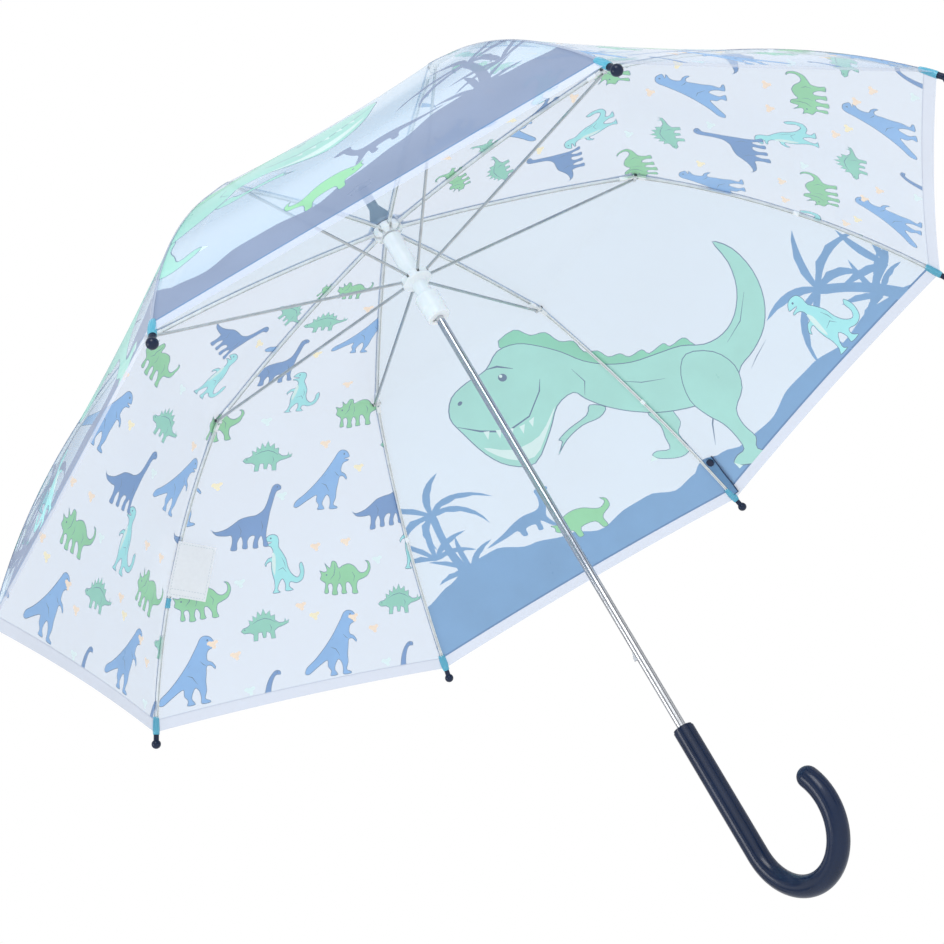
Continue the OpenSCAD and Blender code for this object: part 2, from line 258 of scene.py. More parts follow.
label_mat = woven("label_fabric", (0.88, 0.90, 0.92))
thread = material("label_thread", (0.62, 0.68, 0.72), rough=0.8, spread=0.08, scale=800, bump=0.4,
                  bump_scale=2500)

LOOKS = {"shaft_tube": chrome, "crown": white, "crown_pins": steel, "runner": white, "runner_pins": steel,
         "ferrule": navy, "handle": navy, "upper_catch": steel, "lower_catch": steel, "strap_button": navy}
for node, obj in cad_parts.items():
    other = bars if node.startswith("stretcher") else ribs
    look = LOOKS.get(node) or (navy if node.startswith("rib_tip") else other)
    obj.data.materials.clear()
    obj.data.materials.append(look)


# ---------------------------------------- the print, as polygons on each panel
def smooth(points, n=3):
    """Closed curve through the points."""
    out, m = [], len(points)
    for k in range(m):
        p0, p1, p2, p3 = (points[(k + j - 1) % m] for j in range(4))
        for j in range(n):
            t = j / n
            out.append(tuple(
                0.5 * (2 * p1[c] + (p2[c] - p0[c]) * t + (2 * p0[c] - 5 * p1[c] + 4 * p2[c] - p3[c]) * t * t
                       + (3 * p1[c] - p0[c] - 3 * p2[c] + p3[c]) * t * t * t) for c in (0, 1)))
    return out


def inset(points, w):
    m = len(points)
    pairs = zip(points, points[1:] + points[:1])
    area = sum(p[0] * q[1] - q[0] * p[1] for p, q in pairs)
    side = 1 if area > 0 else -1
    out = []
    for k in range(m):
        a, b = points[k - 1], points[(k + 1) % m]
        dx, dy = b[0] - a[0], b[1] - a[1]
        length = math.hypot(dx, dy) or 1
        out.append((points[k][0] - side * dy / length * w, points[k][1] + side * dx / length * w))
    return out


def blob(x, y, rx, ry, n=12, turn=0.0):
    c, s = cosd(turn), sind(turn)
    pts = [(rx * math.cos(2 * math.pi * k / n), ry * math.sin(2 * math.pi * k / n)) for k in range(n)]
    return [(x + c * px - s * py, y + s * px + c * py) for px, py in pts]


def stroke(points, w):
    """Open line as a thin closed shape that tapers at both ends."""
    left, right = [], []
    m = len(points)
    for k, p in enumerate(points):
        a, b = points[max(k - 1, 0)], points[min(k + 1, m - 1)]
        dx, dy = b[0] - a[0], b[1] - a[1]
        length = math.hypot(dx, dy) or 1
        h = w / 2 * (0.25 if k in (0, m - 1) else 1)
        left.append((p[0] - dy / length * h, p[1] + dx / length * h))
        right.append((p[0] + dy / length * h, p[1] - dx / length * h))
    return left + right[::-1]


def leaf(x, y, angle, length, droop, w):
    top, low = [], []
    for k in range(9):
        t = k / 8
        a = math.radians(angle - droop * t)
        px, py = x + length * t * math.cos(a), y + length * t * math.sin(a)
        h = w * math.sin(math.pi * min(1, t * 0.92 + 0.08)) ** 0.8
        top.append((px - math.sin(a) * h * 0.6, py + math.cos(a) * h * 0.6))
        low.append((px + math.sin(a) * h * 0.4, py - math.cos(a) * h * (0.4 + 0.25 * (k % 2))))
    return top + low[::-1]


# Each figure is a list of (material, points, line width, smoothed); x to the right, y up, millimetres.
FIGURES = {
    "rex": [
        ("rex", [(30, 38), (27, 41), (22, 42), (18, 40), (15, 35), (11, 29), (6, 22), (0, 15), (-7, 8),
                 (-14, 2), (-21, -3), (-23, -8), (-19, -9), (-12, -5), (-5, -1), (0, 1), (0, -4), (3, -8),
                 (2, -12), (9, -12), (9, -10), (7, -7), (8, -3), (11, 1), (14, -2), (15, -7), (15, -12),
                 (23, -12), (23, -10), (19, -8), (21, -2), (21, 5), (22, 11), (23, 17), (27, 17), (30, 14),
                 (31, 16), (28, 20), (24, 22), (24, 27), (26, 30), (30, 31.5), (30.5, 33), (26, 33.6),
                 (31, 35)], 0.55, True),
        ("line", blob(25, 38, 0.9, 0.9), 0, False),
        ("line", stroke([(4, 12), (9, 10), (13, 4)], 0.7), 0, False),
        ("line", stroke([(17, 22), (20, 19), (22, 18)], 0.6), 0, False),
        ("line", stroke([(6, 18), (8, 20)], 0.6), 0, False),
    ],
    "sau": [
        ("sau", [(31, 42), (27, 44), (23, 42), (21, 36), (19, 28), (16, 22), (10, 18), (3, 17), (-5, 15),
                 (-11, 11), (-18, 7), (-27, 5), (-31, 7), (-26, 2), (-17, 1), (-12, 1), (-11, -5),
                 (-12, -11), (-6, -11), (-6, -5), (-3, 0), (-1, -5), (-1, -10), (4, -10), (3.5, -4), (6, 0),
                 (10, 0), (9, -5), (9, -10), (14, -10), (13.5, -5), (16, 0), (18, -4), (19, -9), (24, -9),
                 (21.5, -3), (21, 4), (22, 12), (23, 20), (25, 29), (27, 37), (31, 39)], 0.5, True),
        ("line", blob(27.5, 41.3, 0.7, 0.7), 0, False),
        ("line", stroke([(-6, 10), (-3, 5), (-4, 1)], 0.6), 0, False),
        ("line", stroke([(15, 13), (17, 8), (16, 3)], 0.6), 0, False),
    ],
    "tri": [
        ("tri", [(-25, 5), (-24, 9), (-26, 13), (-21, 11.5), (-18, 13), (-21, 20), (-15, 15), (-13, 21),
                 (-8, 20), (-5, 14.5), (-1, 16.5), (6, 18), (13, 15), (18, 10), (23, 9), (27, 12), (27, 17),
                 (24, 20), (28.5, 19), (31, 13), (28, 6), (22, 3), (17, 1), (16, -5), (17.5, -10),
                 (11, -10), (10.5, -5), (7, 0), (4, 0), (4, -6), (5, -9.5), (-1, -9.5), (-1, -4), (-4, 0),
                 (-6, -5), (-5, -10), (-11.5, -10), (-11, -4), (-12.5, 0), (-16, -1), (-15, -8), (-20, -8),
                 (-19, 0), (-22, 2.5)], 0.55, True),
        ("line", blob(-18, 8.5, 0.8, 0.8), 0, False),
        ("line", stroke([(-14, 4), (-10, 8), (-9, 14), (-10, 19)], 0.65), 0, False),
        ("line", stroke([(10, 10), (13, 6), (12, 1)], 0.6), 0, False),
        ("line", stroke([(-4, 11), (-3, 6), (-5, 2)], 0.5), 0, False),
    ],
    "steg": [
        ("steg", [(-27, 3), (-24, 6), (-19, 7), (-16, 9), (-17, 14), (-12, 12), (-12, 18), (-7.5, 15),
                  (-6, 22), (-2, 17), (1, 24), (4, 17.5), (9, 21), (10, 15), (15, 16), (15, 10), (20, 7),
                  (26, 7), (27, 11), (28.5, 7), (32, 9), (31, 5), (25, 3), (18, 1.5), (14, -1), (14.5, -9),
                  (9, -9), (8, -3), (4, -1), (3, -7), (-1, -7), (-2, -1), (-6, -1), (-7, -9), (-12.5, -9),
                  (-12, -2), (-16, 0), (-23, 0)],
         0.5, False),
        ("line", blob(-22, 4.2, 0.7, 0.7), 0, False),
        ("line", stroke([(-13, 9), (-6, 12), (2, 13.5), (9, 11.5), (15, 8)], 0.6), 0, False),
        ("line", stroke([(8, 7), (10, 3), (9, -1)], 0.6), 0, False),
        ("ridge", stroke([(-10, 15), (-9, 12.5)], 1.2), 0, False),
        ("ridge", stroke([(-4, 19), (-3.5, 15)], 1.2), 0, False),
        ("ridge", stroke([(3, 20), (3, 15.5)], 1.2), 0, False),
    ],
    "cyan": [
        ("cyan", [(-16, 38), (-13, 41), (-8, 42), (-3, 40), (-1, 35), (-1, 29), (3, 23), (7, 16), (9, 8),
                  (13, 1), (19, -3), (22, 1), (21, 8), (24, 11), (27, 3), (25, -6), (18, -9), (11, -7),
                  (10, -11), (14, -15), (5, -15), (5, -9), (2, -3), (-2, -8), (-3, -13), (0, -15.5),
                  (-9, -15.5), (-7, -11), (-7, -4), (-9, 3), (-10, 10), (-10, 15), (-14, 14), (-15.5, 11),
                  (-17, 14), (-13, 19), (-9, 20), (-8, 26), (-11, 30), (-16, 31), (-15, 33), (-9, 34),
                  (-16.5, 35.5)], 0.6, True),
        ("pale", [(-8, 24), (-5, 20), (-5, 10), (-6, 2), (-8, 6), (-9, 14)], 0, True),
        ("line", blob(-10, 38, 0.9, 0.9), 0, False),
        ("line", stroke([(-3, 6), (3, 8), (7, 3)], 0.6), 0, False),
        ("line", stroke([(2, 18), (5, 12), (6, 7)], 0.5), 0, False),
    ],
    "neck": [
        ("sau", [(-4, -14), (-2, -4), (1, 3), (5, 8), (9, 10.5), (13, 9.5), (13, 6.5), (9, 6.5), (6, 3),
                 (3.5, -4), (2, -14)], 0.5, True),
        ("line", blob(9.8, 8.8, 0.6, 0.6), 0, False),
    ],
    "palm": [
        ("ground", [(-3, -6), (-1, 10), (3, 26), (9, 42), (14, 52), (18, 50), (12, 36), (7, 20), (5, 4),
                    (5, -6)],
         0, True),
    ] + [("ground", leaf(16, 51, a, le, dr, 5.0), 0, False)
         for a, le, dr in ((150, 40, -50), (110, 36, -28), (75, 40, 30), (40, 44, 55), (12, 38, 60),
                           (185, 30, -50))],
    "bush": [("ground", leaf(0, -4, a, le, dr, 3.6), 0, False)
             for a, le, dr in ((150, 24, -30), (120, 28, -18), (92, 30, 10), (62, 28, 25), (35, 24, 32))],
    "far_sau": [
        ("ground", [(33, 24), (36, 28), (31, 30), (25, 28), (25, 22), (23, 14), (18, 10), (8, 9), (-2, 5),
                    (-14, -2), (-30, -10), (-12, -6), (-2, -3), (0, -9), (4, -9), (5, -3), (13, -2),
                    (13, -8), (17, -8), (18, 0), (24, -7), (28, -8), (24, 2), (27, 10), (29, 18),
                    (30, 23)], 0, True),
    ],
    "far_tri": [
        ("tri", [(-25, 5), (-24, 9), (-26, 13), (-20, 11.5), (-15, 15), (-8, 18), (0, 19), (8, 17),
                 (14, 13), (20, 11), (26, 15), (24, 20), (29, 17), (28, 9), (20, 4), (17, 0), (17, -8),
                 (12, -8), (9, 0), (-4, 0), (-6, -8), (-11, -8), (-12, 0), (-19, 1)], 0.5, True),
        ("line", blob(-18, 8, 0.8, 0.8), 0, False),
    ],
    "big": [
        ("line", stroke([(72, 6), (74, -14), (64, -34), (60, -52)], 1.4), 0, False),
        ("big", [(26, 2), (30, -14), (34, -26), (28, -36), (34, -50), (26, -58), (10, -58), (4, -54),
                 (8, -50), (18, -49), (16, -38), (14, -26), (6, -10)], 0.7, True),
        ("ridge", [(-88, 72), (-76, 82), (-66, 78), (-56, 80), (-48, 70), (-38, 68), (-32, 56), (-20, 54),
                   (-12, 46), (0, 46), (8, 41), (22, 44), (28, 39), (44, 44), (50, 40), (64, 44), (70, 39),
                   (70, 30), (0, 28), (-50, 48)], 0.6, True),
        ("big", [(-124, 24), (-130, 34), (-126, 46), (-114, 54), (-100, 60), (-90, 70), (-76, 73),
                 (-62, 69), (-48, 59), (-34, 47), (-16, 40), (8, 36), (34, 37), (60, 38), (82, 34),
                 (102, 38), (118, 50), (128, 70), (128, 92), (120, 112), (136, 102), (148, 80), (150, 56),
                 (142, 34), (126, 18), (110, 8), (100, -4), (80, -12), (54, -16), (24, -15), (-4, -10),
                 (-24, -2), (-38, 8), (-46, 16), (-58, 14), (-66, 4), (-80, -2), (-98, 2),
                 (-112, 10)], 0.9, True),
        ("big", [(62, 30), (88, 26), (104, 10), (104, -10), (92, -26), (94, -40), (102, -52), (100, -62),
                 (116, -68), (112, -74), (80, -74), (72, -70), (78, -64), (86, -60), (82, -48), (74, -36),
                 (62, -26), (50, -10), (50, 14)], 0.9, True),
        ("big", [(-36, 2), (-40, -8), (-54, -12), (-62, -9), (-60, -14), (-64, -18), (-56, -19), (-44, -18),
                 (-30, -12), (-24, -2)], 0.8, True),
        ("pale", [(-112, 14), (-98, 6), (-80, 2), (-68, 7), (-60, 16), (-74, 10), (-94, 11)], 0, True),
        ("line", stroke([(-126, 28), (-112, 24), (-94, 22), (-78, 26), (-68, 36), (-66, 44)], 1.1), 0, False),
        ("line", blob(-90, 54, 3.0, 2.4), 0, False),
        ("pale", blob(-91, 55, 1.1, 1.0), 0, False),
        ("line", stroke([(-100, 60), (-92, 61), (-82, 58)], 1.2), 0, False),
        ("line", blob(-121, 42, 1.8, 1.1, turn=30), 0, False),
        ("line", stroke([(-44, 40), (-36, 26), (-38, 12)], 0.8), 0, False),
        ("line", stroke([(104, 30), (122, 44), (134, 66)], 0.8), 0, False),
        ("line", stroke([(-10, 22), (10, 16), (34, 14)], 0.8), 0, False),
        ("line", stroke([(118, 4), (126, 12), (140, 24)], 0.7), 0, False),
        ("pale", [(110, -67), (117, -68), (112, -74)], 0, False),
        ("pale", [(80, -74), (72, -70), (76, -76)], 0, False),
        ("pale", [(8, -58), (4, -54), (2, -60)], 0, False),
    ],
}
for x in (-108, -100, -92, -84, -77):
    FIGURES["big"].append(("pale", [(x - 2, 23.5), (x + 2, 23.5), (x, 18.5)], 0, False))

art = {i: [] for i in range(8)}


def deepen(x, y):
    """Makes the large animal's head deeper, growing from the neck to the snout."""
    k = max(0.0, min(1.0, (-44 - x) / 46))
    k = k * k * (3 - 2 * k)
    return (x if x > -44 else -44 + (x + 44) * 1.12), 58 + (y - 58) * (1 + 0.75 * k) - 10 * k


FIGURES["big"] = [(key, [deepen(*q) for q in points], line, soft)
                  for key, points, line, soft in FIGURES["big"]]


def draw(panels, figure, x0, s0, scale=1.0, turn=0.0, flip=1):
    """panels is one panel, or the two of a scene, which share their middle rib."""
    y0, c, s = run(s0), cosd(turn), sind(turn)
    for key, points, line, soft in FIGURES[figure]:
        pts = smooth(points) if soft else points
        pts = [(flip * x * scale, y * scale) for x, y in pts]
        for mat, shape in ([("line", pts), (key, inset(pts, line))] if line else [(key, pts)]):
            for k, p in enumerate(panels):
                out = []
                for x, y in shape:
                    st = station(y0 - (s * x + c * y))
                    u = (x0 + c * x - s * y) / width(st) + (0.5 if len(panels) == 1 else 1 - k)
                    out.append((u, st))
                if max(q[0] for q in out) > 0 and min(q[0] for q in out) < 1:
                    # Ground print on panels 5 to 7 takes the darker copy of the ground ink, which is painted
                    # shade.
                    art[p].append((out, "painted_shade_ground" if mat == "ground" and p > 4 else mat))


ROWS = [("rex", -122, 1.86, 1.2), ("neck", -37, 1.89, 1.2), ("steg", -35, 1.72, 0.95),
        ("tri", -97, 1.61, 1.12), ("cyan", -13, 1.55, 1.05), ("sau", -50, 1.40, 1.2),
        ("rex", -125, 1.30, 1.15), ("steg", -30, 1.16, 0.95), ("tri", -84, 1.04, 1.05),
        ("cyan", -6, 0.93, 0.95), ("sau", -44, 0.77, 1.0), ("rex", -122, 0.62, 1.0),
        ("steg", -12, 0.50, 0.8), ("tri", 2, 0.32, 0.7)]
MARKS = [(-70, 1.78, "peach"), (3, 1.66, "peach"), (-60, 1.90, "aqua"), (60, 1.73, "peach"),
         (-135, 1.70, "yellow"), (-60, 1.55, "aqua"), (22, 1.47, "peach"), (-96, 1.47, "peach"),
         (-15, 1.28, "aqua"), (-82, 1.22, "yellow"), (30, 1.12, "peach"), (-35, 1.02, "aqua"),
         (40, 0.86, "peach"), (-10, 0.66, "yellow"), (25, 0.42, "peach")]


def mark(panel, x, s, key):
    for dx, dy, r in ((0, 0, 2.6), (3.4, 1.6, 1.7), (-3.2, 1.2, 1.9), (1.2, -3.0, 1.5)):
        st = station(run(s) - dy)
        art[panel].append(([((x + dx + px) / width(st) + 0.5, station(run(s) - dy - py))
                            for px, py in blob(0, 0, r * 1.4, r, 8)], key))


for p, shift in ((0, 0), (7, 38), (3, 22), (4, -30)):
    for name, x, s, k in ROWS:
        for rep in (-152, 0, 152, 304):
            if abs(x + shift + rep) < width(s) / 2 + 30:
                draw([p], name, x + shift + rep - 4, s, k * 0.92, turn=rng.uniform(-6, 6))
    for x, s, key in MARKS:
        for rep in (-152, 0, 152):
            if abs(x + shift + rep) < width(s) / 2 - 8:
                mark(p, x + shift + rep, s, key)

HILLS = [(-0.1, 1.78), (0.0, 1.75), (0.1, 1.72), (0.18, 1.69), (0.28, 1.69), (0.4, 1.74), (0.52, 1.775),
         (0.62, 1.82), (0.72, 1.80), (0.80, 1.80), (0.88, 1.835), (0.95, 1.82), (1.0, 1.79), (1.08, 1.825),
         (1.16, 1.86), (1.3, 1.875), (1.42, 1.85), (1.54, 1.855), (1.66, 1.885), (1.78, 1.875),
         (1.88, 1.90), (1.96, 1.935), (2.1, 1.95)]


def hills(t):
    for (a, sa), (b, sb) in zip(HILLS, HILLS[1:]):
        if a <= t <= b:
            w = (t - a) / (b - a)
            w = w * w * (3 - 2 * w)
            return sa * (1 - w) + sb * w
    return HILLS[-1][1]


def rim(u):
    return S_END * (1 - RIM_CUT * 4 * u * (1 - u))


HEM = 0.034
for pair in ((1, 2), (5, 6)):
    for k, p in enumerate(pair):
        top = [(n / 48, hills(n / 48 + k)) for n in range(-2, 51)]
        low = [(n / 48, rim(max(0, min(1, n / 48))) - HEM) for n in range(-2, 51)]
        # The ground band on panels 5 and 6 uses the darker copy of the ground ink: painted shade.
        art[p].append((top + low[::-1], "ground" if p < 4 else "painted_shade_ground"))
        edge = [(n / 48, rim(max(0, min(1, n / 48))) - HEM - 0.006) for n in range(-2, 51)]
        art[p].append((edge + low[::-1], "ground_edge"))
    draw(pair, "palm", -240, 1.71, 1.28, turn=2)
    draw(pair, "bush", -248, 1.60, 1.5, turn=-20)
    draw(pair, "bush", -232, 1.70, 1.4, turn=-8)
    draw(pair, "far_sau", -172, 1.665, 1.15, turn=-14)
    draw(pair, "far_tri", -124, 1.78, 1.05, turn=-8)
    draw(pair, "big", -4, 1.49, 1.13, turn=-30)
    draw(pair, "palm", 282, 1.93, 1.6, turn=28, flip=-1)
    draw(pair, "bush", 284, 1.80, 1.9, turn=24)
    draw(pair, "bush", 262, 1.86, 1.5, turn=10)
    draw(pair, "cyan", 204, 1.84, 1.2)
for p in range(8):
    low = [(n / 48, rim(max(0, min(1, n / 48))) - HEM) for n in range(-2, 51)]
    out = [(n / 48, 2.02) for n in range(-2, 51)]
    art[p].append((low + out[::-1], "hem"))
    line = [(n / 48, rim(max(0, min(1, n / 48))) - HEM - 0.003) for n in range(-2, 51)]
    if p in (0, 3, 4, 7):
        art[p].append((line + low[::-1], "weld"))


# ---------------------------------------- the canopy, one curved sheet in bands that fold
def link(name, verts, faces, mats, normals=None, index=None):
    mesh = bpy.data.meshes.new(name)
    mesh.from_pydata([tuple(v) for v in verts], [], faces)
    for m in mats:
        mesh.materials.append(m)
    if index:
        mesh.polygons.foreach_set("material_index", index)
    mesh.polygons.foreach_set("use_smooth", [True] * len(faces))
    mesh.update()
    if normals:
        mesh.normals_split_custom_set_from_vertices([tuple(n) for n in normals])
    obj = bpy.data.objects.new(name, mesh)
    bpy.context.scene.collection.objects.link(obj)
    return obj


def normal_at(i, u, s):
    e = 0.01
    du = panel_point(i, u + e, s) - panel_point(i, u - e, s)
    s0, s1 = max(s - e, 0.0), s + e
    ds = panel_point(i, u, s1) - panel_point(i, u, s0)
    n = ds.cross(du)
    n.normalize()
    return n if n.z > 0 else -n


KX, KY = 240.0, 245.0


def inside(p, shape):
    """Which of the points p are inside the closed outline; one that crosses itself stays filled."""
    turns = np.zeros(len(p), int)
    for a, b in zip(shape, np.roll(shape, -1, axis=0)):
        left = (b[0] - a[0]) * (p[:, 1] - a[1]) - (p[:, 0] - a[0]) * (b[1] - a[1])
        turns += (a[1] <= p[:, 1]) & (b[1] > p[:, 1]) & (left > 0)
        turns -= (a[1] > p[:, 1]) & (b[1] <= p[:, 1]) & (left < 0)
    return turns != 0


def band_mesh(i, u0, u1, s0, s1, to_rim):
    """Vertices (u, s), triangles and the material of each, with the print's outlines cut into the sheet."""
    cols, rows = 10, max(4, round((s1 - s0) / 0.03))

    def top(u):
        return rim(u) if to_rim else s1

    verts, edge = [], []
    us = [u0 + (u1 - u0) * k / cols for k in range(cols + 1)]
    for u in us:
        edge.append((u, s0))
    for r in range(1, rows):
        edge.append((u1, s0 + (top(u1) - s0) * r / rows))
    for u in reversed(us):
        edge.append((u, top(u)))
    for r in range(rows - 1, 0, -1):
        edge.append((u0, s0 + (top(u0) - s0) * r / rows))
    verts += edge
    edges = [(k, (k + 1) % len(edge)) for k in range(len(edge))]
    for r in range(1, rows):
        for u in us[1:-1]:
            verts.append((u, s0 + (top(u) - s0) * r / rows))
    shapes = []
    for points, key in art[i]:
        lo_u, hi_u = min(q[0] for q in points), max(q[0] for q in points)
        lo_s, hi_s = min(q[1] for q in points), max(q[1] for q in points)
        if hi_u < u0 or lo_u > u1 or hi_s < s0 or lo_s > s1 + 0.01:
            continue
        n = len(points)
        edges += [(len(verts) + k, len(verts) + (k + 1) % n) for k in range(n)]
        verts += points
        shapes.append((np.array(points), key))
    co, _, tris, _, _, _ = delaunay_2d_cdt(
        [Vector((u * KX, s * KY)) for u, s in verts], edges, [], 0, 1e-4, False)
    co = np.array([(c[0] / KX, c[1] / KY) for c in co])
    tris = np.array(tris)
    mid = co[tris].mean(axis=1)
    flat = np.abs(np.cross(co[tris[:, 1]] - co[tris[:, 0]], co[tris[:, 2]] - co[tris[:, 0]])) > 1e-9
    bound = s1 if not to_rim else S_END * (1 - RIM_CUT * 4 * mid[:, 0] * (1 - mid[:, 0])) + 1e-5
    good = flat & (mid[:, 0] > u0) & (mid[:, 0] < u1) & (mid[:, 1] > s0) & (mid[:, 1] < bound)
    tris, mid = tris[good], mid[good]
    index = np.full(len(tris), KEYS.index("film" if i in (0, 3, 4, 7) else "sky"))
    for points, key in shapes:
        index[inside(mid, points)] = KEYS.index(key)
    used, tris = np.unique(tris, return_inverse=True)
    tris = tris.reshape(-1, 3)
    return [tuple(c) for c in co[used]], tris.tolist(), index.tolist()


BANDS = [("crown", 0.008, 1.0, 0.180, "inner"), ("mid", 1.0, 1.5, 0.160, "outer"),
         ("low", 1.5, 1.75, 0.145, "outer"), ("rim", 1.75, S_END, 0.125, "outer")]


def ribbon(name, rib, s0, s1, half, lift, mat, body):
    """Welded tape over a seam, which follows the film on both sides of the rib."""
    rows, pts, faces = max(6, round((s1 - s0) / 0.03)), [], []
    for r in range(rows + 1):
        st = s0 + (s1 - s0) * r / rows
        u = half / width(st)
        pts += [panel_point(rib - 1, 1 - u, st, lift), panel_point(rib, 0, st, lift),
                panel_point(rib, u, st, lift)]
    for r in range(rows):
        for c in (0, 1):
            k = 3 * r + c
            faces.append([k, k + 1, k + 4, k + 3])
    obj = link(name, pts, faces, [mat])
    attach(obj, body)
    return obj


for k in range(8):
    ribbon(f"seam_tape_{k}_a", k, 0.02, 1.0, 1.9, 0.4, film_mats["weld"], f"inner_{k}")
    ribbon(f"seam_tape_{k}_b", k, 1.0, S_END, 1.9, 0.4, film_mats["weld"], f"outer_{k}")
for i in range(8):
    for half in (0, 1):
        rib = (i + half) % 8
        u0, u1 = (0.0, 0.5) if half == 0 else (0.5, 1.0)
        for name, s0, s1, share, part in BANDS:
            uv, tris, index = band_mesh(i, u0, u1, s0, s1, name == "rim")
            pts = [panel_point(i, u, s) for u, s in uv]
            tris = [t if (pts[t[1]] - pts[t[0]]).cross(pts[t[2]] - pts[t[0]]).dot(normal_at(i, *uv[t[0]])) > 0
                    else t[::-1] for t in tris]
            used = sorted(set(index))
            obj = link(f"film_{i}_{'ab'[half]}_{name}", pts, tris, [film_mats[KEYS[k]] for k in used],
                       [normal_at(i, u, s) for u, s in uv], [used.index(k) for k in index])
            wide = width(s1) / 2000
            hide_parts(f"canopy_panel_{i}")
            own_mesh(obj)
            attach(obj, f"{part}_{rib}")


# ---------------------------------------- small pieces
def loft(name, rings, mat, body, closed=True, caps=True):
    """Skin over rings of points in metres; closed rings, capped at both ends."""
    n, pts, faces = len(rings[0]), [p for r in rings for p in r], []
    for r in range(len(rings) - 1):
        for c in range(n if closed else n - 1):
            a, b = r * n + c, r * n + (c + 1) % n
            faces.append([a, b, b + n, a + n])
    if caps:
        faces += [list(range(n))[::-1], list(range((len(rings) - 1) * n, len(rings) * n))]
    obj = link(name, pts, faces, [mat])
    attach(obj, body)
    return obj


def ring(rib, s, dx, half_y, half_z, lift, power=2.0, n=20):
    """Rounded ring around the rib at station s, moved dx along it."""
    (x, z), a = rib_point(s), rib_slope(s)
    out = []
    for k in range(n):
        t = 2 * math.pi * k / n
        cy, cz = math.cos(t), math.sin(t)
        y = half_y * math.copysign(abs(cy) ** (2 / power), cy)
        h = half_z * math.copysign(abs(cz) ** (2 / power), cz) + lift
        out.append(on_rib(rib, x + dx * cosd(a) + h * sind(a), y, z - dx * sind(a) + h * cosd(a)))
    return out


def dome(name, rib, y, side, r, mat, body):
    """Domed rivet head at the rib joint, on the outside of y."""
    rings = []
    for q, h in ((1.0, 0.0), (1.0, 0.18), (0.88, 0.42), (0.62, 0.62), (0.3, 0.72)):
        rings.append([on_rib(rib, JOINT_R + r * q * math.cos(2 * math.pi * k / 24), y + side * h,
                             JOINT_Z + r * q * math.sin(2 * math.pi * k / 24)) for k in range(24)])
    return loft(name, rings, mat, body)


rivet = material("rivet_dark", (0.09, 0.10, 0.12), rough=0.35, spread=0.2, scale=600, bump=0.2,
                 bump_scale=2000, Metallic=0.7)
for k in range(8):
    loft(f"corner_sleeve_{k}", [ring(k, 1.975, dx, ry, rz, lift) for dx, ry, rz, lift in (
        (-16, 3.0, 1.9, 0.7), (-12, 3.5, 2.3, 0.6), (-7, 3.6, 2.6, 0.4), (-3, 3.2, 2.7, 0.2),
        (-1, 2.9, 2.6, 0.0))],
        sleeve_mat, f"outer_{k}", caps=False)
    loft(f"rib_clip_{k}", [ring(k, 0.952, dx, ry, rz, -0.1, power=5) for dx, ry, rz in (
        (-4.2, 1.45, 1.35), (-3.9, 1.7, 1.6), (3.4, 1.7, 1.6), (3.7, 1.45, 1.35))], white, f"inner_{k}")
    dome(f"joint_rivet_{k}_a", k, -2.7, -1, 1.45, rivet, f"inner_{k}")
    dome(f"joint_rivet_{k}_b", k, 4.2, 1, 1.45, rivet, f"inner_{k}")
    loft(f"mid_clip_{k}", [ring(k, 1.5, dx, ry, rz, 0.0, power=4) for dx, ry, rz in (
        (-2.6, 1.4, 1.25), (-2.2, 1.75, 1.6), (2.2, 1.75, 1.6), (2.6, 1.4, 1.25))], white, f"outer_{k}")
loft("label_tie", [ring(0, 1.575, dx, ry, rz, 0.1) for dx, ry, rz in (
    (-4.4, 1.7, 1.5), (-3.6, 2.4, 2.1), (-1.2, 2.0, 1.8), (0.6, 2.3, 2.0), (3.4, 2.5, 2.2), (4.2, 1.8, 1.6))],
    sleeve_mat, "outer_0", caps=False)


def lathe(name, profile, mat, body, n=64):
    rings = [[Vector((r * math.cos(2 * math.pi * k / n), r * math.sin(2 * math.pi * k / n), z)) / 1000
              for k in range(n)] for r, z in profile]
    return loft(name, rings, mat, body, caps=False)


lathe("crown_collar", [(7.3, 542.3), (10.4, 542.1), (12.2, 541.2), (14.0, 540.2),
                       (16.0, 539.6)], film_mats["hem"],
      "shaft")
seam_az = -16.0
strip = []
for z in [58 + 378 * k / 24 for k in range(25)]:
    strip.append([Vector((r * cosd(seam_az + a), r * sind(seam_az + a), z)) / 1000
                  for r, a in ((3.49, -5.2), (3.53, -4.2), (3.535, 0), (3.53, 4.2), (3.49, 5.2))])
loft("shaft_seam", strip, seam_dark, "shaft", closed=False, caps=False)


def on_film(rib, s, tilt):
    """Maps x along the rib, y across and z outwards, in millimetres, to the row frame."""
    x, z = rib_point(s)
    x, z = x + 0.6 * sind(film_slope(s)), z + 0.6 * cosd(film_slope(s))
    place = Matrix.Translation(Vector((x, 0, z)))
    m = (Matrix.Rotation(math.radians(rib_angle(rib)), 4, "Z") @ place
         @ Matrix.Rotation(math.radians(rib_slope(s)), 4, "Y") @ Matrix.Rotation(math.radians(tilt), 4, "X"))
    return lambda a, b, c: (m @ Vector((a, b, c))) / 1000


def film_tilt(s):
    return math.degrees(math.atan(math.tan(math.radians(22.5)) * sind(rib_slope(s))))


